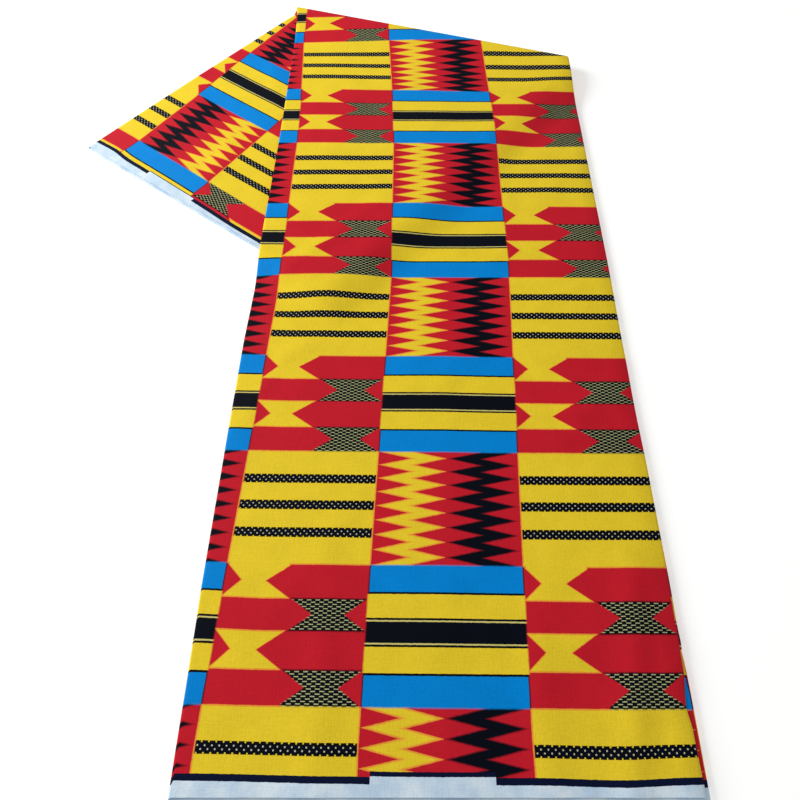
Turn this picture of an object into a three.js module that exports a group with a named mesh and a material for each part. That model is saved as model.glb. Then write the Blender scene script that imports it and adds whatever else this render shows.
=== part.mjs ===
// A length of printed cotton, folded back and forth into a long strip and laid flat.
// Its far end is turned under along a slanting ridge, so the last third comes back beneath
// the strip and shows as a flap at its left. One piece of cloth, so one solid.
// Units are millimetres, +Z is up, +Y runs from the near selvage towards the ridge.

import * as THREE from 'three';

// The cloth
const SELVAGE_TO_SELVAGE = 1150; // woven width, which is the length of the folded strip
const LAYERS = 4;
const SHEET = 1.0; // thickness of one layer
const LAYER_GAP = 0.4; // air between two layers
const FOLD_BULGE = 2.2; // how far a side fold stands out past the flat of its layers
const FREE_EDGE = 2.5; // the top layer's cut edge reaches this far over the fold beside it

// The turn at the far end
const RIDGE_SLANT = THREE.MathUtils.degToRad(-19.4); // of the ridge from square across
const RIDGE_START = 773; // from the near selvage to the start of the turn, on the middle line
const RIDGE_RADIUS = 6; // of the middle surface, a soft turn that isn't pressed flat
const RIDGE_SETTLE = 42; // how soon the cloth comes down again before the turn
const SELVAGE_SLANT = -0.0366; // both selvages lie this far out of square to the strip

// Where the strip crosses the part turned under it
const LIE_GAP = 0.6; // between the strip and what it lies on
const EDGE_CLEARANCE = 2; // kept level this far past an edge below
const EDGE_RAMP = 45; // then it comes down to the surface over this distance

// Side folds of the strip, left and right of its middle line, and how far a soft
// ripple lifts the cloth there. One row for each place along the strip.
const SIDES = [
  { along: -20, left: -163, right: 163, ripple: 0 },
  { along: 60, left: -163.5, right: 163.2, ripple: 0 },
  { along: 130, left: -164.5, right: 163.8, ripple: 0.5 },
  { along: 240, left: -164.3, right: 164, ripple: 0.2 },
  { along: 320, left: -164, right: 164.5, ripple: 0.7 },
  { along: 420, left: -161.5, right: 165.5, ripple: 0.3 },
  { along: 600, left: -160, right: 165.2, ripple: 0.6 },
  { along: 720, left: -160.4, right: 163.2, ripple: 0.3 },
  { along: 810, left: -160.6, right: 163, ripple: 0 },
  { along: 860, left: -167, right: 163, ripple: 0 },
  { along: 1010, left: -168, right: 162, ripple: 0 },
  { along: 1190, left: -167.2, right: 163, ripple: 0 },
];

// How far each layer's end stands out past a square cut, top layer first
const LAYER_ENDS = [
  { near: -0.8, far: 1.2 },
  { near: 2.2, far: 0.6 },
  { near: 1.0, far: 2.2 },
  { near: 3.0, far: 0 },
];
const END_REACH = 50; // the uneven ends die out over this distance

// Steps of the mesh
const STEPS_ACROSS = 10;
const FOLD_STEPS = 4;
const STATIONS_NEAR = 23;
const STATIONS_TURN = 9;
const STATIONS_UNDER = 10;

// The middle of the part's box, so that its origin is under that point
const BOX_MIDDLE = { x: -99.53, y: 415.44 };

const pitch = SHEET + LAYER_GAP;
const stack = LAYERS * SHEET + (LAYERS - 1) * LAYER_GAP;
const ridgeAlong = new THREE.Vector2(Math.cos(RIDGE_SLANT), Math.sin(RIDGE_SLANT));
const ridgeAway = new THREE.Vector2(-ridgeAlong.y, ridgeAlong.x);
const turnLength = Math.PI * RIDGE_RADIUS;
const halfStrip = 163; // near enough, to set the stations and where the part turned under lies

function smooth(t) {
  const c = THREE.MathUtils.clamp(t, 0, 1);
  return c * c * (3 - 2 * c);
}

// Value of one column of SIDES at a place along the strip, eased between its rows
function side(column, along) {
  const last = SIDES.length - 1;
  const next = SIDES.findIndex((row) => row.along > along);
  if (next === 0) return SIDES[0][column];
  if (next < 0) return SIDES[last][column];
  const a = SIDES[next - 1];
  const b = SIDES[next];
  return a[column] + (b[column] - a[column]) * smooth((along - a.along) / (b.along - a.along));
}

// The part turned under, seen from above: a strip that runs back from the ridge
const underAway = new THREE.Vector2(Math.sin(2 * RIDGE_SLANT), -Math.cos(2 * RIDGE_SLANT));
const underRight = new THREE.Vector2(-underAway.y, underAway.x);
const underCorner = new THREE.Vector2(halfStrip, RIDGE_START + halfStrip * Math.tan(RIDGE_SLANT));
const underReach = SELVAGE_TO_SELVAGE + SELVAGE_SLANT * halfStrip - underCorner.y
  - turnLength / ridgeAlong.x + LAYER_ENDS[0].far;

// Distance outside the part turned under, nought where the strip lies on it
function outsideUnder(x, y) {
  const fromCorner = new THREE.Vector2(x, y).sub(underCorner);
  const beside = Math.max(fromCorner.dot(underRight), 0);
  const beyond = Math.max(fromCorner.dot(underAway) - underReach, 0);
  return Math.hypot(beside, beyond);
}

// Height of the strip's middle surface above the surface it lies on
function stripHeight(x, y, beforeTurn) {
  const ramp = 1 - smooth((outsideUnder(x, y) - EDGE_CLEARANCE) / EDGE_RAMP);
  const level = (stack + LIE_GAP) * ramp;
  const turnTop = 2 * RIDGE_RADIUS;
  const rise = (turnTop - level) * Math.exp(-((beforeTurn / RIDGE_SETTLE) ** 2));
  const ripple = side('ripple', y) * Math.sin((x / halfStrip + 1) * Math.PI * 1.5) ** 2;
  return stack / 2 + level + rise + ripple * (1 - Math.exp(-((beforeTurn / RIDGE_SETTLE) ** 2)));
}

// A point of the strip before it is turned under (x across, y along, lift above the
// middle surface) goes to where it lies
function place(x, y, lift) {
  const fromStart = new THREE.Vector2(x, y - RIDGE_START);
  const past = fromStart.dot(ridgeAway);
  if (past <= 0) return new THREE.Vector3(x, y, stripHeight(x, y, past) + lift);
  const alongRidge = fromStart.dot(ridgeAlong);
  let out;
  let height;
  if (past < turnLength) {
    const angle = past / RIDGE_RADIUS;
    out = (RIDGE_RADIUS + lift) * Math.sin(angle);
    height = stack / 2 + RIDGE_RADIUS + (RIDGE_RADIUS + lift) * Math.cos(angle);
  } else {
    out = turnLength - past;
    height = stack / 2 - lift;
  }
  return new THREE.Vector3(
    ridgeAlong.x * alongRidge + ridgeAway.x * out,
    RIDGE_START + ridgeAlong.y * alongRidge + ridgeAway.y * out,
    height,
  );
}

// One face of the sheet through all its layers. Each point says how far across it is
// (0 left, 1 right), how far it stands out past that side, its lift and its layer.
function sheetFace(offset) {
  const points = [];
  for (let layer = 0; layer < LAYERS; layer += 1) {
    const leftward = layer % 2 === 0; // the top layer runs to a fold at the left
    const lift = stack / 2 - SHEET / 2 - layer * pitch;
    const faceLift = lift + (leftward ? offset : -offset);
    for (let i = 0; i <= STEPS_ACROSS; i += 1) {
      const t = i / STEPS_ACROSS;
      const out = layer === 0 && i === 0 ? FREE_EDGE : 0;
      points.push({ across: leftward ? 1 - t : t, out, lift: faceLift, layer });
    }
    if (layer === LAYERS - 1) break;
    // the side fold down to the next layer
    const radius = pitch / 2 + (leftward ? offset : -offset);
    const foldOut = FOLD_BULGE - SHEET / 2 + (leftward ? offset : -offset);
    for (let i = 1; i < FOLD_STEPS; i += 1) {
      const angle = Math.PI * i / FOLD_STEPS;
      points.push({
        across: leftward ? 0 : 1,
        out: foldOut * Math.sin(angle),
        lift: lift - pitch / 2 + radius * Math.cos(angle),
        layer: layer + i / FOLD_STEPS,
      });
    }
  }
  return points;
}

// The section is one face of the sheet, then its other face back to the start
function sheetSection() {
  return sheetFace(SHEET / 2).concat(sheetFace(-SHEET / 2).reverse());
}

// Stations turn from the slant of the near selvage to that of the ridge and back
function stations() {
  const ridge = Math.tan(RIDGE_SLANT);
  const turnEnd = RIDGE_START + turnLength / ridgeAlong.x;
  const list = [];
  for (let i = 0; i < STATIONS_NEAR; i += 1) {
    const t = i / STATIONS_NEAR;
    list.push({ along: RIDGE_START * t, slant: SELVAGE_SLANT + (ridge - SELVAGE_SLANT) * t });
  }
  for (let i = 0; i <= STATIONS_TURN; i += 1) {
    const t = i / STATIONS_TURN;
    list.push({ along: RIDGE_START + (turnEnd - RIDGE_START) * t, slant: ridge });
  }
  for (let i = 1; i <= STATIONS_UNDER; i += 1) {
    const t = i / STATIONS_UNDER;
    list.push({
      along: turnEnd + (SELVAGE_TO_SELVAGE - turnEnd) * t,
      slant: ridge + (SELVAGE_SLANT - ridge) * t,
    });
  }
  return list;
}

function layerEnd(which, layer) {
  const upper = Math.floor(layer);
  const lower = Math.min(upper + 1, LAYERS - 1);
  return THREE.MathUtils.lerp(LAYER_ENDS[upper][which], LAYER_ENDS[lower][which], layer - upper);
}

function stationPoint(station, point) {
  const left = side('left', station.along - station.slant * halfStrip) + FOLD_BULGE;
  const right = side('right', station.along + station.slant * halfStrip) - FOLD_BULGE;
  const x = left + (right - left) * point.across + (point.across > 0 ? point.out : -point.out);
  const near = layerEnd('near', point.layer) * Math.exp(-station.along / END_REACH);
  const far = layerEnd('far', point.layer)
    * Math.exp((station.along - SELVAGE_TO_SELVAGE) / END_REACH);
  return place(x, station.along + station.slant * x - near + far, point.lift);
}

function foldedCloth() {
  const section = sheetSection();
  const rows = stations();
  const positions = [];
  rows.forEach((station) => section.forEach((point) => {
    const at = stationPoint(station, point);
    positions.push(at.x - BOX_MIDDLE.x, at.y - BOX_MIDDLE.y, at.z);
  }));
  const count = section.length;
  const index = [];
  for (let row = 0; row + 1 < rows.length; row += 1) {
    for (let i = 0; i < count; i += 1) {
      const a = row * count + i;
      const b = row * count + ((i + 1) % count);
      index.push(a, b + count, b, a, a + count, b + count);
    }
  }
  // each end is closed by a band between the two faces of the sheet
  const lastRow = (rows.length - 1) * count;
  for (let i = 0; i + 1 < count / 2; i += 1) {
    const [a, b, c, d] = [i, i + 1, count - 2 - i, count - 1 - i];
    index.push(a, c, d, a, b, c);
    index.push(lastRow + a, lastRow + d, lastRow + c, lastRow + a, lastRow + c, lastRow + b);
  }
  const geometry = new THREE.BufferGeometry();
  geometry.setAttribute('position', new THREE.Float32BufferAttribute(positions, 3));
  geometry.setIndex(index);
  return geometry;
}

const printedCotton = new THREE.MeshStandardMaterial({
  color: 0xd8b41c,
  roughness: 0.7,
  metalness: 0,
});

const cloth = new THREE.Mesh(foldedCloth(), printedCotton);
cloth.name = 'cloth';

const part = new THREE.Group();
part.add(cloth);

export default part;
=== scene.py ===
# Looks for a length of block-patterned wax print cotton, folded lengthwise into a strip
# whose far end is turned under on a slant. The cloth is one thin sheet, folded in code from
# a flat grid, and its print is a chart drawn in nodes on the flat cloth's own map.
import math

import bmesh
import bpy
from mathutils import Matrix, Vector


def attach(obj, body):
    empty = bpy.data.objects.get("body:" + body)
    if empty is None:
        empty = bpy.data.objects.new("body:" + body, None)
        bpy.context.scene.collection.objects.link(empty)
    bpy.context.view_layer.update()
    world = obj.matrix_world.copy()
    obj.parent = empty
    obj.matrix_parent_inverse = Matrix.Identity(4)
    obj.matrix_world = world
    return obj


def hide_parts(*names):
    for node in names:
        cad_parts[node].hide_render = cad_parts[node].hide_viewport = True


mm = 0.001

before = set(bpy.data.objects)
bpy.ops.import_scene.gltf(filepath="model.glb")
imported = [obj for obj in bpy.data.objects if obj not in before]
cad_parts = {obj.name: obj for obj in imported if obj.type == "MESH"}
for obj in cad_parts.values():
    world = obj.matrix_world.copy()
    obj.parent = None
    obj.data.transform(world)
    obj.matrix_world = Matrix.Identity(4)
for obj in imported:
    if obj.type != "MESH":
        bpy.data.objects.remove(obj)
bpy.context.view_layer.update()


# the cloth, in millimetres, as it lies: U across the strip, V along it from the near selvage
cloth = {
    "wovenWidth": 1150,       # selvage to selvage, the length of the strip
    "layers": 4,
    "layerPitch": 1.4,        # from one layer to the next
    "stackHeight": 5.2,
    "sheet": 0.5,             # thickness of the cloth itself
    "foldBulge": 2.2,         # a side fold stands out this far
    "freeEdge": 2.5,          # the top layer's cut edge reaches this far over the fold beside it
    "freeDroop": 1.1,         # and hangs down this much at its tip
    "foldCore": 0.5,          # half a layer of the solid, taken off the bulge
    "foldTravel": 3.7,        # cloth taken up by one side fold
    "ridgeSlant": math.radians(-19.4),
    "ridgeStart": 773,        # where the turn begins on the middle line
    "ridgeRadius": 6,
    "ridgeSettle": 42,        # how soon the cloth comes down again before the turn
    "selvageSlant": -0.0366,  # both selvages lie this far out of square
    "lieGap": 0.6,            # between the strip and the part turned under
    "edgeClearance": 2,       # kept level this far past an edge below
    "edgeRamp": 45,           # then it comes down over this distance
    "endReach": 50,           # the layers' uneven ends die out over this distance
    "halfStrip": 163,
    "boxMiddle": Vector((-99.53, 415.44)),  # U, V that lies over the origin
}

# side folds of the strip and the ripple's height at places along it: V, left, right, ripple
sides = [
    (-20, -163, 164.4, 0),
    (60, -163.5, 165, 0),
    (100, -164, 163.5, 0.3),
    (130, -164.5, 163.8, 0.5),
    (240, -164.3, 164, 0.2),
    (320, -164, 164.5, 0.7),
    (420, -161.5, 165.5, 0.3),
    (600, -160, 165.2, 0.6),
    (720, -160.4, 163.2, 0.3),
    (810, -160.6, 163, 0),
    (860, -167, 163, 0),
    (1010, -168, 162, 0),
    (1190, -167.2, 163, 0),
]

# how far each layer's end stands out, top layer first: near end, far end
layerEnds = [(-0.8, 1.2), (2.2, 0.6), (1.0, 2.2), (3.0, 0)]

# soft creases: from U, V to U, V, then height in mm (below nought is a trough) and half width
creases = [
    (-150, 395, -52, 498, 0.7, 6),
    (-158, 250, -120, 330, 0.5, 7),
    (88, 470, 160, 560, 0.4, 9),
    (96, 225, 158, 300, 0.6, 8),
    (70, 60, 150, 130, 0.5, 9),
    (-120, 100, -60, 180, 0.4, 9),
    (-30, 640, 40, 690, -0.4, 9),
    (20, 330, 60, 420, 0.3, 8),
    (-130, 315, -88, 350, 0.5, 4),
    (-88, 350, -80, 374, 0.4, 4),
    (89, 342, 100, 368, 0.4, 4),
    (100, 368, 138, 391, 0.5, 4),
    (6, 80, 12, 320, 0.35, 7),
    (116, -20, 142, 140, 2.0, 10),
    (155, -20, 158, 80, 1.2, 7),
    (66, -20, 70, 110, 1.2, 11),
    (-78, -20, -74, 150, 1.1, 10),
    (14, -20, 10, 80, 0.4, 14),
    (-60, 330, -40, 640, 0.4, 16),
    (70, 380, 60, 640, 0.4, 18),
]
creaseFade = 0.3  # a crease dies out over this share of its length before and past each end
creaseSides = 3   # and is followed out to this many half widths
deepestTrough = -0.2  # on the strip, so that it clears the layer beneath

# the same on the flap, where only ridges fit between cloth and surface
flapCreases = [
    (-150, 905, -60, 985, 0.6, 6),
    (-158, 1010, -90, 1060, 0.5, 7),
    (-60, 1050, -20, 1120, 0.5, 8),
]

# how far the top layer's cut edge lies back from its even line, along the strip
cutBack = [(0, 3.4), (38, 4.2), (52, 5.8), (82, 2.2), (95, 0), (125, -0.7), (220, -0.7), (300, 0)]
cutBackReach = 40  # the layer gives way this far in from the edge

mesh = {
    "outerSteps": 56,     # across the layer on top and the one that the flap shows
    "innerSteps": 12,
    "foldSteps": 6,       # round a side fold
    "edgeSteps": 4,       # over the fold beside the cut edge
    "nearRows": 170,      # from the near selvage to the turn
    "turnRows": 14,
    "underRows": 70,
    "edgeBunching": 0.6,  # draws the columns together towards the side folds
    "sharpPast": math.radians(60),  # an edge that turns by more than this looks sharp
}


def smooth(t):
    t = min(max(t, 0), 1)
    return t * t * (3 - 2 * t)


# value of one column of a table at a place along it, eased or straight between its rows
def eased(rows, column, place):
    if place <= rows[0][0]:
        return rows[0][column]
    for low, high in zip(rows, rows[1:]):
        if place < high[0]:
            share = smooth((place - low[0]) / (high[0] - low[0]))
            return low[column] + (high[column] - low[column]) * share
    return rows[-1][column]


def straight(rows, place):
    if place <= rows[0][0]:
        return rows[0][1]
    for (lowAt, low), (highAt, high) in zip(rows, rows[1:]):
        if place < highAt:
            return low + (high - low) * (place - lowAt) / (highAt - lowAt)
    return rows[-1][1]


slant = cloth["ridgeSlant"]
ridgeAlong = Vector((math.cos(slant), math.sin(slant)))
ridgeAway = Vector((-ridgeAlong.y, ridgeAlong.x))
turnLength = math.pi * cloth["ridgeRadius"]
underAway = Vector((math.sin(2 * slant), -math.cos(2 * slant)))
underRight = Vector((-underAway.y, underAway.x))
underCorner = Vector((cloth["halfStrip"], cloth["ridgeStart"] + cloth["halfStrip"] * math.tan(slant)))
underReach = (
    cloth["wovenWidth"] + cloth["selvageSlant"] * cloth["halfStrip"] - underCorner.y
    - turnLength / ridgeAlong.x + layerEnds[0][1]
)


def creaseHeight(rows, x, y):
    total = 0
    for fromX, fromY, toX, toY, height, width in rows:
        line = Vector((toX - fromX, toY - fromY))
        reach = line.length
        share = ((x - fromX) * line.x + (y - fromY) * line.y) / reach / reach
        off = abs((x - fromX) * line.y - (y - fromY) * line.x) / reach
        if -creaseFade < share < 1 + creaseFade and off < creaseSides * width:
            rise = smooth((share + creaseFade) / (2 * creaseFade))
            fall = smooth((1 + creaseFade - share) / (2 * creaseFade))
            total += height * rise * fall * math.exp(-((off / width) ** 2))
    return total


# middle surface of the strip above what the cloth lies on
def stripHeight(x, y, beforeTurn):
    fromCorner = Vector((x, y)) - underCorner
    beside = max(fromCorner.dot(underRight), 0)
    beyond = max(fromCorner.dot(underAway) - underReach, 0)
    outside = math.hypot(beside, beyond)
    ramp = 1 - smooth((outside - cloth["edgeClearance"]) / cloth["edgeRamp"])
    level = (cloth["stackHeight"] + cloth["lieGap"]) * ramp
    settle = math.exp(-((beforeTurn / cloth["ridgeSettle"]) ** 2))
    rise = (2 * cloth["ridgeRadius"] - level) * settle
    ripple = eased(sides, 3, y) * math.sin((x / cloth["halfStrip"] + 1) * math.pi * 1.5) ** 2
    low = cloth["stackHeight"] / 2 + level + rise
    return low + (ripple + max(creaseHeight(creases, x, y), deepestTrough)) * (1 - settle)


# a point of the strip before it is turned under goes to where it lies
def place(x, y, lift):
    half = cloth["stackHeight"] / 2
    radius = cloth["ridgeRadius"]
    fromStart = Vector((x, y - cloth["ridgeStart"]))
    past = fromStart.dot(ridgeAway)
    if past <= 0:
        spot = Vector((x, y))
        height = stripHeight(x, y, past) + lift
    else:
        if past < turnLength:
            out = (radius + lift) * math.sin(past / radius)
            height = half + radius + (radius + lift) * math.cos(past / radius)
        else:
            out = turnLength - past
            height = half - lift + creaseHeight(flapCreases, x, y)
        spot = ridgeAlong * fromStart.dot(ridgeAlong) + ridgeAway * out
        spot.y += cloth["ridgeStart"]
    spot -= cloth["boxMiddle"]
    return Vector((spot.x, spot.y, height)) * mm


# where the columns of the print run on the layers that show: V, then U of the line between
# a plain column and the block column at its right
printLines = [(31, -49.6), (129, -46.8), (237, -42.9), (355, -38.8), (415, -36.7),
              (587, -37.7), (659, -40.6), (770, -47)]
flapLines = [(850, -50.4), (936, -42.4), (1027, -30.6), (1075, -26.4), (1118, -22.1)]
flapRepeats = -4  # pattern repeats between the top layer and the one that the flap shows

# the print's rows run ahead on the flap, by one amount along V and another across it, which
# sets in between two places along V
flapRows = [(600, 0), (850, 6), (936, 6), (1025, 4.5), (1118, 1), (1150, 0)]
flapSlew = [(-163, 0.8), (-105, -0.5), (-60, -1.0), (-12, -2.2), (70, -2.6)]
flapSlewFade = (850, 950)

# and they waver beside the selvages, by these across U: in full as far as the first distance
# from the selvage, and not at all past the second
nearWaver = [(-163, -1.8), (-60, -0.5), (-20, 0), (60, 0), (110, 1.2), (163, -0.2)]
flapWaver = [(-163, 1.0), (-140, 2.0), (-115, 0), (-20, -0.5), (50, -2.5)]
waverFade = (8, 58)

# the cloth lies a little off its threads, so the print's rows run ahead by these at places
# along the strip: V, then one amount for each U in driftAcross
driftAcross = (-163, -120, 0, 110, 163)
drift = [
    (20, 0.5, 0.5, 1.2, 1.2, 1),
    (60, -2.2, -1.2, 0, 0.8, 0.8),
    (110, -4, -1.8, -0.8, 0.8, 0.8),
    (200, -3, -2.2, -1, 0, 0),
    (275, -3, -1.6, -0.8, 1.5, 1.5),
    (350, -2.5, -0.6, 0.2, 1.6, 1.6),
    (430, 1, 2, 1.5, 1, 1),
    (520, 1.5, 1.5, 0.5, 0, 0),
    (610, -0.5, 0, 1.5, 1, -2),
    (645, -1, -0.6, 2, 3, -3.5),
    (672, -1, -0.6, 2, 7, 3.5),
    (697, -1, -0.6, 2, 9.5, 11),
    (722, -1, -0.6, 2, 8, 8),
    (745, -0.6, -0.4, 1, 4, 6),
    (790, 0, 0, 0, 3, 5),
]


# columns of the sheet: which layer, how far across, how far out in a side fold, its lift,
# and how far the cloth has come from the top layer's cut edge
def sheetColumns():
    columns = []
    layers, pitch = cloth["layers"], cloth["layerPitch"]
    bulge = cloth["foldBulge"] - cloth["foldCore"]
    width = 2 * (cloth["halfStrip"] - cloth["foldBulge"])
    steps = mesh["foldSteps"]
    for layer in range(layers):
        outer = layer in (0, layers - 1)
        across = mesh["outerSteps"] if outer else mesh["innerSteps"]
        lift = (layers - 1) * pitch / 2 - layer * pitch
        leftward = layer % 2 == 0
        start = layer * (width + cloth["foldTravel"])
        for i in range(across + 1):
            even = i / across
            bunched = (1 - math.cos(math.pi * even)) / 2
            t = even + (bunched - even) * mesh["edgeBunching"]
            columns.append({
                "layer": layer, "across": 1 - t if leftward else t, "out": 0,
                "lift": lift, "travel": start + width * t,
            })
        if layer < layers - 1:
            for i in range(1, steps):
                angle = math.pi * i / steps
                columns.append({
                    "layer": layer + i / steps,
                    "across": 0 if leftward else 1,
                    "out": bulge * math.sin(angle),
                    "lift": lift - pitch / 2 + pitch / 2 * math.cos(angle),
                    "travel": start + width + cloth["foldTravel"] * i / steps,
                })
    # the cut edge on top goes on over the fold beside it and droops a little
    for i, column in enumerate(columns[:mesh["edgeSteps"]]):
        past = 1 - i / mesh["edgeSteps"]
        column.update(
            across=1,
            out=cloth["freeEdge"] * past,
            lift=column["lift"] - cloth["freeDroop"] * past * past,
            travel=-cloth["freeEdge"] * past,
        )
    return columns


# rows turn from the slant of the near selvage to that of the ridge and back
def sheetRows():
    selvage, ridge = cloth["selvageSlant"], math.tan(slant)
    start, end = cloth["ridgeStart"], cloth["wovenWidth"]
    turnEnd = start + turnLength / ridgeAlong.x
    legs = [
        (0, selvage, start, ridge, mesh["nearRows"]),
        (start, ridge, turnEnd, ridge, mesh["turnRows"]),
        (turnEnd, ridge, end, selvage, mesh["underRows"]),
    ]
    rows = [
        (fromV + (toV - fromV) * i / steps, fromSlant + (toSlant - fromSlant) * i / steps)
        for fromV, fromSlant, toV, toSlant, steps in legs for i in range(steps)
    ]
    return rows + [(end, selvage)]


# value at a layer, or on the way from it to the next
def between(values, layer):
    low = min(int(layer), len(values) - 2)
    return values[low] + (values[low + 1] - values[low]) * (layer - low)


# where a point is on the flat cloth's print: along the bolt, and across it from selvage
def printPlace(column, x, y, along):
    last = cloth["layers"] - 1
    width = 2 * (cloth["halfStrip"] - cloth["foldBulge"])
    topLine = straight(printLines, y)
    flapLine = straight(flapLines, y) + chart["repeat"] * flapRepeats
    lastStart = last * (width + cloth["foldTravel"])
    if column["layer"] == 0:
        bolt = x - topLine
    elif column["layer"] == last:
        bolt = flapLine - x
    else:
        left = eased(sides, 1, y) + cloth["foldBulge"]
        share = (column["travel"] - width) / (lastStart - width)
        bolt = (left - topLine) * (1 - share) + (flapLine - left) * share
    slewFrom, slewTo = flapSlewFade
    ahead = straight(flapRows, y) + straight(flapSlew, x) * smooth((y - slewFrom) / (slewTo - slewFrom))
    ahead *= smooth((column["travel"] - lastStart) / cloth["foldTravel"] + 1)
    rows = [(at, eased(drift, i + 1, y)) for i, at in enumerate(driftAcross)]
    offThread = straight(rows, x) * (1 - smooth(column["layer"]))
    return bolt, along + ahead + offThread + waver(column, x, along)


# the selvage line and the rows beside it don't run dead straight to the cut
def waver(column, x, along):
    if column["layer"] == 0:
        rows, fromEnd = nearWaver, along
    elif column["layer"] == cloth["layers"] - 1:
        rows, fromEnd = flapWaver, cloth["wovenWidth"] - along
    else:
        return 0
    full, gone = waverFade
    return eased(rows, 1, x) * (1 - smooth((fromEnd - full) / (gone - full)))


# every corner of a flat grid goes to its place on the folds, and keeps its place on the print
def foldSheet():
    columns, rows = sheetColumns(), sheetRows()
    bm = bmesh.new()
    bmesh.ops.create_grid(bm, x_segments=len(columns) - 1, y_segments=len(rows) - 1, size=1)
    onPrint = {}
    for v in bm.verts:
        column = columns[round((v.co.x + 1) / 2 * (len(columns) - 1))]
        along, slope = rows[round((v.co.y + 1) / 2 * (len(rows) - 1))]
        half = cloth["halfStrip"]
        left = eased(sides, 1, along - slope * half) + cloth["foldBulge"]
        right = eased(sides, 2, along + slope * half) - cloth["foldBulge"]
        outward = column["out"] if column["across"] > 0 else -column["out"]
        x = left + (right - left) * column["across"] + outward
        if column["layer"] == 0:
            x -= eased(cutBack, 1, along) * smooth((x - right) / cutBackReach + 1)
        nearShift = between([e[0] for e in layerEnds], column["layer"])
        farShift = between([e[1] for e in layerEnds], column["layer"])
        y = along + slope * x
        onPrint[v] = printPlace(column, x, y, y - cloth["selvageSlant"] * x)
        y -= nearShift * math.exp(-along / cloth["endReach"])
        y += farShift * math.exp((along - cloth["wovenWidth"]) / cloth["endReach"])
        v.co = place(x, y, column["lift"])
    uv = bm.loops.layers.uv.new("flatCloth")
    for face in bm.faces:
        face.smooth = True
        for loop in face.loops:
            bolt, across = onPrint[loop.vert]
            loop[uv].uv = (bolt * mm, across * mm)
    return bm


# the print as a chart, in millimetres of the flat cloth
chart = {
    "repeat": 211.1,          # one block column and one plain column
    "blockColumn": 109.3,
    "rowRepeat": 177.67,      # one striped row and one zigzag row
    "stripedRow": 89.9,
    "firstStripedRow": 48.5,  # from the near selvage
    # each stripe starts this far from the middle of its row, on both sides
    "stripes": [(0, "black"), (6.6, "pale"), (7.5, "black"),
                (8.9, "yellow"), (24.8, "black"), (26.1, "blue")],
    "blueEdge": 0.8,          # thin dark line where a blue stripe ends
    "zigzags": 8,
    "zigzagFrom": 3.2,        # from the side of its block to a zigzag band's outer points
    "zigzagGap": 1.65,        # from the middle to its inner points
    "zigzagLeft": 1.2,        # the bands part this far left of the middle
    "zigzagDepth": 24.3,      # from the points on one side of a band to its notches
    "zigzagSlope": 4.5,       # how steep their sides are, which draws out the fringe there
    "ropes": 3,
    "ropeStep": 20.9,
    "ropeWidth": 7.2,
    "ropeRow": 2.05,          # from one row of dots to the next
    "ropeDot": 4.55,          # along the rope from dot to dot
    "ropeStagger": 0.47,      # each row of dots is set off by this share of that
    "ropeSpot": 0.53,         # half a dot
    "hatchedRow": 21.6,       # the hatched arrow, then the yellow one
    "hatchedFrom": 48.4,      # its blunt end, from the left side of the plain column
    "hatchedPoint": 15.8,
    "hatchedNotch": 15.3,
    "yellowPoint": 12.2,
    "yellowTo": 46.8,
    "yellowNotch": 17.6,
    "hatchDash": 6.0,         # from dash to dash
    "hatchFill": 0.52,        # share of that which a dash takes up
    "hatchStagger": 0.5,      # each row of dashes is set off by this share
    "hatchRow": 1.45,         # from one row of dashes to the next
    "hatchGap": 0.27,         # half of the dark between two rows, as a share of a row
    "hatchRim": 0.7,          # dark line along a hatched arrow's sides
    "whiteSelvage": 7.5,
    "selvageLine": 3.9,
    "patchDepth": 60.0,
    # a patch left bare: its middle along the bolt, half its length, and how far the inner
    # and the outer side of the dark line step in around it
    "nearPatch": (46.5, 38.5, 3.0, 4.3),
    "farPatch": (-816.5, 33.5, 0.8, 3.8),
    "fringe": 1.3,            # red and yellow run together over this width
    "rimStrength": 3.8,       # up to 4, where the fringe is orange alone
}

inks = {
    "yellow": "F8D830",
    "red": "D01E2E",
    "orange": "FFA63C",
    "blue": "008CE2",
    "black": "070B17",
    "navy": "0A1432",
    "pale": "DCD07A",
    "dot": "CFCDB2",
    "dash": "BCC088",
    "white": "CBE4FA",
    "brightWhite": "E6F5FF",
}

# cotton as it is woven and dyed, with painted highlights in its specks, in millimetres and in shares
weave = {
    "thread": 0.9,            # real threads are 0.3 apart: drawn as coarse as they need to show
    "slub": 9.0,              # how long a thick place in a thread is
    "threadShade": 0.1,
    "patch": 22.0,            # soft uneven patches of dye
    "patchShade": 0.2,
    "speck": 1.9,
    # the specks darken the colour as dye specks and lighten it as painted highlights
    "speckAndGlintShade": 0.2,
    "wander": 3.0,            # printed edges waver over this length
    "wanderBy": 0.5,
    "height": 0.09,
    "edgePatch": (4.0, -1.5),  # how sharply the selvage's patches part, and from where
}


def linear(code):
    channels = [int(code[i:i + 2], 16) / 255 for i in (0, 2, 4)]
    return [c / 12.92 if c <= 0.04045 else ((c + 0.055) / 1.055) ** 2.4 for c in channels] + [1]


def addNode(tree, kind, feeds=(), out=0, **settings):
    node = tree.nodes.new("ShaderNode" + kind)
    for name, value in settings.items():
        setattr(node, name, value)
    pairs = feeds.items() if isinstance(feeds, dict) else enumerate(feeds)
    for key, feed in pairs:
        if isinstance(feed, bpy.types.NodeSocket):
            tree.links.new(feed, node.inputs[key])
        else:
            node.inputs[key].default_value = feed
    return node.outputs[out] if node.outputs else None


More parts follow.
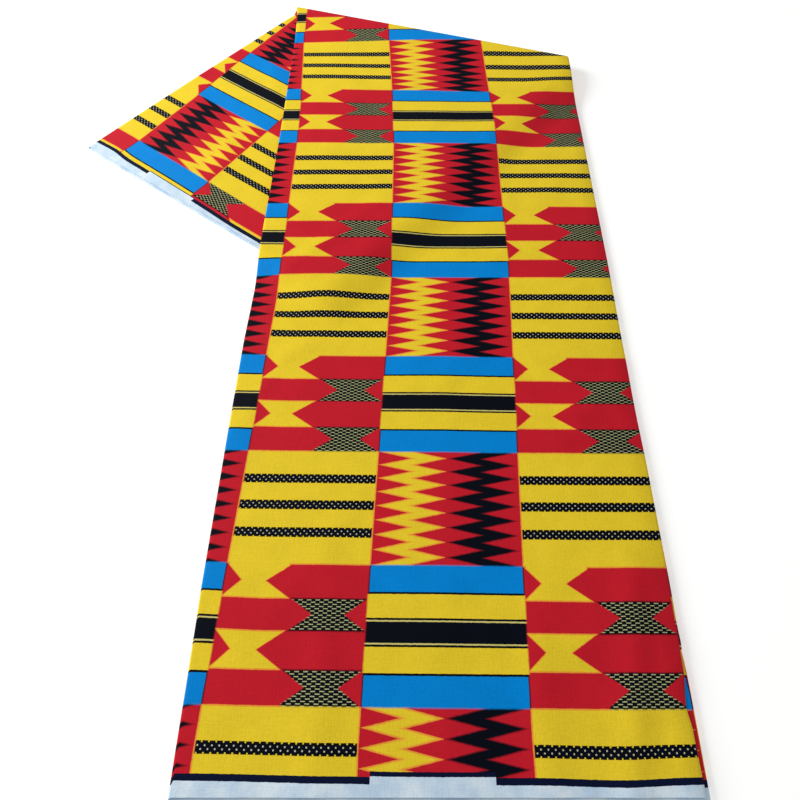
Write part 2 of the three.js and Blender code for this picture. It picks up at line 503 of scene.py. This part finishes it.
# the words of the chart's rows: a kind of node, the sockets that it is fed at, the one
# that it gives, and its settings
words = {
    "plus": ("Math", (0, 1), 0, {"operation": "ADD"}),
    "minus": ("Math", (0, 1), 0, {"operation": "SUBTRACT"}),
    "times": ("Math", (0, 1), 0, {"operation": "MULTIPLY"}),
    "over": ("Math", (0, 1), 0, {"operation": "DIVIDE"}),
    "timesPlus": ("Math", (0, 1, 2), 0, {"operation": "MULTIPLY_ADD"}),
    "least": ("Math", (0, 1), 0, {"operation": "MINIMUM"}),
    "most": ("Math", (0, 1), 0, {"operation": "MAXIMUM"}),
    "size": ("Math", (0,), 0, {"operation": "ABSOLUTE"}),
    "whole": ("Math", (0,), 0, {"operation": "FLOOR"}),
    "root": ("Math", (0,), 0, {"operation": "SQRT"}),
    "folded": ("Math", (0, 1), 0, {"operation": "PINGPONG"}),
    "repeated": ("Math", (0, 1, 2), 0, {"operation": "WRAP"}),  # place, highest, lowest
    "below": ("Math", (0, 1), 0, {"operation": "LESS_THAN"}),
    "above": ("Math", (0, 1), 0, {"operation": "GREATER_THAN"}),
    "soft": ("Math", (0, 1, 2), 0, {"operation": "MULTIPLY_ADD", "use_clamp": True}),
    "ink": ("Mix", (0, 6, 7), 2, {"data_type": "RGBA"}),  # mask, under it, over it
    "shade": ("Mix", (0, 6, 7), 2, {"data_type": "RGBA", "blend_type": "MULTIPLY"}),
    "noise": ("TexNoise", ("Vector", "Scale", "Detail"), 0, {}),
    "spot": ("CombineXYZ", (0, 1), 0, {}),
}


# each row names a result, the word that makes it, and what that is fed: sizes, or the
# names of results above it
def addRows(tree, known, rows):
    for name, word, *feeds in rows:
        kind, sockets, out, settings = words[word]
        fed = [known[feed] if isinstance(feed, str) else feed for feed in feeds]
        known[name] = addNode(tree, kind, dict(zip(sockets, fed)), out, **settings)


plainColumn = chart["repeat"] - chart["blockColumn"]
zigzagRow = chart["rowRepeat"] - chart["stripedRow"]
halfBlock, halfStriped = chart["blockColumn"] / 2, chart["stripedRow"] / 2
arrowPitch = halfStriped
halfHatched = chart["hatchedRow"] / 2
halfYellow = (arrowPitch - chart["hatchedRow"]) / 2
sharp = 1 / chart["fringe"]
steep = sharp / chart["zigzagSlope"]

# the threads, thick and thin, the dye's uneven patches, and specks: in the colour the dark ones are dye
# specks and the light ones painted highlights
weaveRows = [
    ("flat", "spot", "boltFlat", "acrossFlat"),
    ("wander", "noise", "flat", 1 / weave["wander"], 1.0),
    ("bolt", "timesPlus", "wander", weave["wanderBy"], "boltBack"),
    ("across", "timesPlus", "wander", -weave["wanderBy"], "acrossOn"),
    ("weftAlong", "over", "boltFlat", weave["slub"]),
    ("weftAcross", "over", "acrossFlat", weave["thread"]),
    ("weftSpot", "spot", "weftAlong", "weftAcross"),
    ("weft", "noise", "weftSpot", 1.0, 1.0),
    ("warpAlong", "over", "boltFlat", weave["thread"]),
    ("warpAcross", "over", "acrossFlat", weave["slub"]),
    ("warpSpot", "spot", "warpAlong", "warpAcross"),
    ("warp", "noise", "warpSpot", 1.0, 1.0),
    ("threads", "plus", "weft", "warp"),
    ("patches", "noise", "flat", 1 / weave["patch"], 2.0),
    ("specks", "noise", "flat", 1 / weave["speck"], 3.0),
]

# where a point is in the print's repeat
placeRows = [
    ("boltOn", "minus", "bolt", halfBlock),
    ("fromBlock", "repeated", "boltOn", chart["repeat"] / 2, -chart["repeat"] / 2),
    ("besideBlock", "size", "fromBlock"),
    ("insideBlock", "minus", halfBlock, "besideBlock"),
    ("inBlocks", "soft", "insideBlock", sharp, 0.5),
    ("plainOn", "minus", "bolt", chart["blockColumn"]),
    ("plainPlace", "repeated", "plainOn", plainColumn + halfBlock, -halfBlock),
    ("rowOn", "minus", "across", chart["firstStripedRow"] + halfStriped),
    ("fromStriped", "repeated", "rowOn", chart["rowRepeat"] / 2, -chart["rowRepeat"] / 2),
    ("besideStriped", "size", "fromStriped"),
    ("insideStriped", "minus", halfStriped, "besideStriped"),
    ("inStriped", "soft", "insideStriped", sharp, 0.5),
    ("stripeShare", "over", "besideStriped", chart["stripedRow"]),
    ("zigzagOn", "minus", "across", chart["firstStripedRow"] + chart["stripedRow"]),
    ("zigzagPlace", "repeated", "zigzagOn", zigzagRow + halfStriped, -halfStriped),
]

# in the block columns: stripes, and zigzags that are yellow on the left and black on the right
blockRows = [
    ("blueBody", "above", "besideStriped", chart["stripes"][-1][0]),
    ("blueRim", "below", "insideBlock", chart["blueEdge"]),
    ("blueSide", "times", "blueBody", "blueRim"),
    ("stripedInk", "ink", "blueSide", "stripeInk", "navy"),
    ("turns", "times", "zigzagPlace", 2 * chart["zigzags"] / zigzagRow),
    ("turn", "folded", "turns", 1.0),
    ("bandFrom", "timesPlus", "turn", chart["zigzagDepth"], chart["zigzagFrom"]),
    ("bandTo", "timesPlus", "turn", -chart["zigzagDepth"], chart["zigzagDepth"] + chart["zigzagGap"]),
    ("pastFrom", "minus", "insideBlock", "bandFrom"),
    ("offMiddle", "plus", "fromBlock", chart["zigzagLeft"]),
    ("besideParting", "size", "offMiddle"),
    ("beforeTo", "minus", "besideParting", "bandTo"),
    ("pastMask", "soft", "pastFrom", steep, 0.5),
    ("beforeMask", "soft", "beforeTo", steep, 0.5),
    ("band", "times", "pastMask", "beforeMask"),
    ("rightHalf", "above", "offMiddle", 0.0),
    ("bandInk", "ink", "rightHalf", "yellow", "black"),
    ("zigzagInk", "ink", "band", "red", "bandInk"),
    ("blockInk", "ink", "inStriped", "zigzagInk", "stripedInk"),
]

# in the plain columns: three ropes of small dots on yellow
ropeRows = [
    ("fromMiddle", "minus", "zigzagPlace", zigzagRow / 2),
    ("besideMiddle", "size", "fromMiddle"),
    ("ropesHere", "below", "besideMiddle", chart["ropeStep"] * chart["ropes"] / 2),
    ("offRope", "repeated", "fromMiddle", chart["ropeStep"] / 2, -chart["ropeStep"] / 2),
    ("besideRope", "size", "offRope"),
    ("ropeWide", "below", "besideRope", chart["ropeWidth"] / 2),
    ("rope", "times", "ropesHere", "ropeWide"),
    ("dotRows", "over", "offRope", chart["ropeRow"]),
    ("dotRow", "whole", "dotRows"),
    ("dotAcross", "repeated", "offRope", chart["ropeRow"], 0.0),
    ("dotOff", "minus", "dotAcross", chart["ropeRow"] / 2),
    ("dotStart", "timesPlus", "dotRow", chart["ropeStagger"] * chart["ropeDot"], "bolt"),
    ("dotAlong", "repeated", "dotStart", chart["ropeDot"] / 2, -chart["ropeDot"] / 2),
    ("dotOffSquared", "times", "dotOff", "dotOff"),
    ("dotSquared", "timesPlus", "dotAlong", "dotAlong", "dotOffSquared"),
    ("dotRadius", "root", "dotSquared"),
    ("dotMask", "below", "dotRadius", chart["ropeSpot"]),
    ("innerRows", "below", "besideRope", chart["ropeRow"]),
    ("dotInk", "ink", "innerRows", "yellow", "dot"),
    ("strandInk", "ink", "dotMask", "black", "dotInk"),
    ("ropeInk", "ink", "rope", "yellow", "strandInk"),
]

# and arrows on red, in turn hatched and yellow
arrowRows = [
    ("rowCapped", "least", "fromStriped", halfStriped - chart["fringe"]),
    ("rowInside", "most", "rowCapped", chart["fringe"] - halfStriped),
    ("arrowOn", "plus", "rowInside", halfStriped - halfHatched),
    ("fromHatched", "repeated", "arrowOn", arrowPitch / 2, -arrowPitch / 2),
    ("besideHatched", "size", "fromHatched"),
    ("insideHatched", "minus", halfHatched, "besideHatched"),
    ("inHatched", "soft", "insideHatched", sharp, 0.5),
    ("hatchedPeak", "over", "insideHatched", halfHatched),
    ("hatchedTip", "timesPlus", "hatchedPeak", chart["hatchedPoint"], chart["hatchedFrom"]),
    ("hatchedLeft", "minus", "hatchedTip", "plainPlace"),
    ("hatchedEnd", "timesPlus", "hatchedPeak", -chart["hatchedNotch"], plainColumn),
    ("hatchedRight", "minus", "plainPlace", "hatchedEnd"),
    ("hatchedOut", "most", "hatchedLeft", "hatchedRight"),
    ("hatchedRed", "soft", "hatchedOut", sharp, 0.5),
    ("insideYellow", "minus", 0.0, "insideHatched"),
    ("yellowPeak", "over", "insideYellow", halfYellow),
    ("yellowTip", "times", "yellowPeak", chart["yellowPoint"]),
    ("yellowLeft", "minus", "yellowTip", "plainPlace"),
    ("yellowEnd", "timesPlus", "yellowPeak", -chart["yellowNotch"], chart["yellowTo"]),
    ("yellowRight", "minus", "plainPlace", "yellowEnd"),
    ("yellowOut", "most", "yellowLeft", "yellowRight"),
    ("yellowRed", "soft", "yellowOut", sharp, 0.5),
    ("hatchCount", "over", "across", chart["hatchRow"]),
    ("hatchNumber", "whole", "hatchCount"),
    ("dashes", "over", "bolt", chart["hatchDash"]),
    ("dashOn", "timesPlus", "hatchNumber", chart["hatchStagger"], "dashes"),
    ("dashAlong", "repeated", "dashOn", 1.0, 0.0),
    ("dashLong", "below", "dashAlong", chart["hatchFill"]),
    ("dashAcross", "repeated", "hatchCount", 0.5, -0.5),
    ("dashBeside", "size", "dashAcross"),
    ("dashWide", "above", "dashBeside", chart["hatchGap"]),
    ("dashInside", "above", "insideHatched", chart["hatchRim"]),
    ("dashShape", "times", "dashLong", "dashWide"),
    ("dashMask", "times", "dashShape", "dashInside"),
    ("hatchInk", "ink", "dashMask", "black", "dash"),
    ("hatchedInk", "ink", "hatchedRed", "hatchInk", "red"),
    ("yellowInk", "ink", "yellowRed", "yellow", "red"),
    ("arrowInk", "ink", "inHatched", "yellowInk", "hatchedInk"),
    ("plainInk", "ink", "inStriped", "ropeInk", "arrowInk"),
    ("sharpInk", "ink", "inBlocks", "plainInk", "blockInk"),
]

# a fine orange line where yellow and red run together
fringeRows = [
    ("notBlocks", "minus", 1.0, "inBlocks"),
    ("notStriped", "minus", 1.0, "inStriped"),
    ("notHatched", "minus", 1.0, "inHatched"),
    ("notRed", "minus", 1.0, "yellowRed"),
    ("notBand", "minus", 1.0, "band"),
    ("leftHalf", "minus", 1.0, "rightHalf"),
    ("zigzagsHere", "times", "inBlocks", "notStriped"),
    ("bandRim", "times", "band", "notBand"),
    ("leftRim", "times", "bandRim", "leftHalf"),
    ("insideRim", "plus", "leftRim", "notBlocks"),
    ("blockRim", "times", "insideRim", "zigzagsHere"),
    ("tipRim", "times", "yellowRed", "notRed"),
    ("yellowTipRim", "times", "tipRim", "notHatched"),
    ("turnRim", "times", "inHatched", "notHatched"),
    ("redTurnRim", "times", "turnRim", "hatchedRed"),
    ("yellowTurnRim", "times", "redTurnRim", "notRed"),
    ("arrowRims", "plus", "yellowTipRim", "yellowTurnRim"),
    ("arrowRim", "times", "arrowRims", "inStriped"),
    ("redInHatched", "times", "hatchedRed", "inHatched"),
    ("redInYellow", "times", "yellowRed", "notHatched"),
    ("redHere", "plus", "redInHatched", "redInYellow"),
    ("rowRim", "times", "inStriped", "notStriped"),
    ("redRowRim", "times", "rowRim", "redHere"),
    ("plainRims", "plus", "arrowRim", "redRowRim"),
    ("plainRim", "times", "plainRims", "notBlocks"),
    ("rims", "plus", "plainRim", "blockRim"),
    ("rimMask", "soft", "rims", chart["rimStrength"], 0.0),
    ("bodyInk", "ink", "rimMask", "sharpInk", "orange"),
]

# selvages: a dark line and a white edge, the line stepped in around each bare patch
nearMiddle, nearHalf, nearInner, nearOuter = chart["nearPatch"]
farMiddle, farHalf, farInner, farOuter = chart["farPatch"]
selvageRows = [
    ("fromFar", "minus", float(cloth["wovenWidth"]), "across"),
    ("fromEdge", "least", "across", "fromFar"),
    ("nearOff", "minus", "bolt", nearMiddle),
    ("nearBeside", "size", "nearOff"),
    ("nearLong", "below", "nearBeside", nearHalf),
    ("nearWide", "below", "across", chart["patchDepth"]),
    ("nearPatch", "times", "nearLong", "nearWide"),
    ("farOff", "minus", "bolt", farMiddle),
    ("farBeside", "size", "farOff"),
    ("farLong", "below", "farBeside", farHalf),
    ("farWide", "below", "fromFar", chart["patchDepth"]),
    ("farPatch", "times", "farLong", "farWide"),
    ("nearLine", "timesPlus", "nearPatch", -nearInner, "fromEdge"),
    ("lineEdge", "timesPlus", "farPatch", -farInner, "nearLine"),
    ("nearWhite", "timesPlus", "nearPatch", -nearOuter, "fromEdge"),
    ("whiteEdge", "timesPlus", "farPatch", -farOuter, "nearWhite"),
    ("lineMask", "below", "lineEdge", chart["whiteSelvage"] + chart["selvageLine"]),
    ("linedInk", "ink", "lineMask", "bodyInk", "navy"),
    ("whiteMask", "below", "whiteEdge", chart["whiteSelvage"]),
    ("whiteBand", "soft", "patches", *weave["edgePatch"]),
    ("whiteInk", "ink", "whiteBand", "white", "brightWhite"),
    ("printInk", "ink", "whiteMask", "linedInk", "whiteInk"),
]

# the dye lies unevenly in the threads; the specks darken the colour as dye specks and lighten it as
# painted highlights
dyeRows = [
    ("threadShade", "timesPlus", "threads", weave["threadShade"], 1 - weave["threadShade"]),
    ("patchShade", "timesPlus", "patches", weave["patchShade"], 1 - weave["patchShade"] / 2),
    # painted highlights: the light specks lighten the colour, the dark ones are dye specks
    ("speckAndGlintShade", "timesPlus", "specks", weave["speckAndGlintShade"], 1 - weave["speckAndGlintShade"] / 2),
    ("shade", "times", "threadShade", "patchShade"),
    ("wholeShade", "times", "shade", "speckAndGlintShade"),
    ("clothInk", "shade", 1.0, "printInk", "wholeShade"),
    ("relief", "plus", "threads", "specks"),
]


# wax print: dye on plain-woven cotton, pressed to a soft sheen, every colour right through
def waxPrintCotton():
    material = bpy.data.materials.new("waxPrintCotton")
    material.use_nodes = True
    tree = material.node_tree
    tree.nodes.clear()

    uv = addNode(tree, "UVMap", uv_map="flatCloth")
    known = {name: linear(code) for name, code in inks.items()}
    addRows(tree, known, [
        ("boltFlat", "times", addNode(tree, "SeparateXYZ", [uv]), 1 / mm),
        ("acrossFlat", "times", addNode(tree, "SeparateXYZ", [uv], out=1), 1 / mm),
        ("boltBack", "minus", "boltFlat", weave["wanderBy"] / 2),
        ("acrossOn", "plus", "acrossFlat", weave["wanderBy"] / 2),
    ])
    addRows(tree, known, weaveRows + placeRows)

    known["stripeInk"] = addNode(tree, "ValToRGB", [known["stripeShare"]])
    ramp = known["stripeInk"].node.color_ramp
    ramp.interpolation = "CONSTANT"
    for _ in chart["stripes"][2:]:
        ramp.elements.new(1)
    for element, (fromMiddle, ink) in zip(ramp.elements, chart["stripes"]):
        element.position = fromMiddle / chart["stripedRow"]
        element.color = linear(inks[ink])

    addRows(tree, known, blockRows + ropeRows + arrowRows + fringeRows + selvageRows + dyeRows)
    relief = {"Strength": 1.0, "Distance": weave["height"] * mm, "Height": known["relief"]}
    finish = {
        "Base Color": known["clothInk"],
        "Normal": addNode(tree, "Bump", relief),
        "Roughness": 0.65,
        "Specular IOR Level": 0.05,
        "Sheen Weight": 0.02,
        "Sheen Roughness": 0.4,
    }
    shader = addNode(tree, "BsdfPrincipled", finish)
    addNode(tree, "OutputMaterial", [shader])
    return material


# the camera at the photograph's angle, over the near end and looking down along the strip
view = {
    "foot": Vector((16.8, 36.1)),  # U, V of the spot below it
    "height": 436.3,
    "down": math.radians(61.22),
    "turnRight": math.radians(2.1),
    "lens": 27.0,
    "shiftX": -0.08,  # the photograph is cropped off the middle of its lens
    "clipStart": 0.01,
}


def addCamera():
    data = bpy.data.cameras.new("camera")
    camera = bpy.data.objects.new("camera", data)
    bpy.context.scene.collection.objects.link(camera)
    foot = view["foot"] - cloth["boxMiddle"]
    camera.location = Vector((foot.x, foot.y, view["height"])) * mm
    camera.rotation_euler = (math.pi / 2 - view["down"], 0, -view["turnRight"])
    data.lens = view["lens"]
    data.shift_x = view["shiftX"]
    data.clip_start = view["clipStart"]
    bpy.context.scene.camera = camera


# the folded grid gets the cloth's thickness, on both sides of its middle
def addCloth():
    bm = foldSheet()
    data = bpy.data.meshes.new("foldedCloth")
    bm.to_mesh(data)
    bm.free()
    sheet = bpy.data.objects.new("foldedCloth", data)
    bpy.context.scene.collection.objects.link(sheet)
    thick = sheet.modifiers.new("sheet", "SOLIDIFY")
    thick.thickness = cloth["sheet"] * mm
    thick.offset = 0
    depsgraph = bpy.context.evaluated_depsgraph_get()
    solid = bpy.data.meshes.new_from_object(sheet.evaluated_get(depsgraph))
    sheet.modifiers.clear()
    sheet.data = solid
    solid.set_sharp_from_angle(angle=mesh["sharpPast"])
    solid.materials.clear()
    solid.materials.append(waxPrintCotton())
    return sheet


addCamera()
print("camera placed")

sheet = addCloth()
print("cloth folded:", len(sheet.data.polygons), "faces")

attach(sheet, "root")
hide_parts("cloth")


# the studio, in metres: a paper floor and one big soft lamp at the far left
studio = {
    "floorSize": 6.0,
    "floorColour": "F6F6F4",
    "floorRoughness": 0.9,
    "floorGlow": 0.4,
    "world": 0.42,
    "keyPlace": (-1.5, 0.7, 0.78),
    "keyAim": (0, 0.1, 0),
    "keySize": 1.0,
    "keyPower": 36,
}
white = (1, 1, 1, 1)


def addFloor():
    bm = bmesh.new()
    bmesh.ops.create_grid(bm, x_segments=1, y_segments=1, size=studio["floorSize"] / 2)
    data = bpy.data.meshes.new("floor")
    bm.to_mesh(data)
    bm.free()
    floor = bpy.data.objects.new("floor", data)
    bpy.context.scene.collection.objects.link(floor)
    material = bpy.data.materials.new("paperBackdrop")
    material.use_nodes = True
    shader = material.node_tree.nodes["Principled BSDF"]
    shader.inputs["Base Color"].default_value = linear(studio["floorColour"])
    shader.inputs["Roughness"].default_value = studio["floorRoughness"]
    shader.inputs["Emission Color"].default_value = white
    shader.inputs["Emission Strength"].default_value = studio["floorGlow"]
    data.materials.append(material)


def addKeyLight():
    data = bpy.data.lights.new("keyLight", "AREA")
    data.size = studio["keySize"]
    data.energy = studio["keyPower"]
    light = bpy.data.objects.new("keyLight", data)
    bpy.context.scene.collection.objects.link(light)
    light.location = studio["keyPlace"]
    aim = Vector(studio["keyAim"]) - Vector(studio["keyPlace"])
    light.rotation_euler = aim.to_track_quat("-Z", "Y").to_euler()


def addWorld():
    world = bpy.data.worlds.new("studio")
    world.use_nodes = True
    background = world.node_tree.nodes["Background"]
    background.inputs["Color"].default_value = white
    background.inputs["Strength"].default_value = studio["world"]
    bpy.context.scene.world = world


addFloor()
addKeyLight()
addWorld()
bpy.context.scene.view_settings.view_transform = "Standard"
print("studio lit")
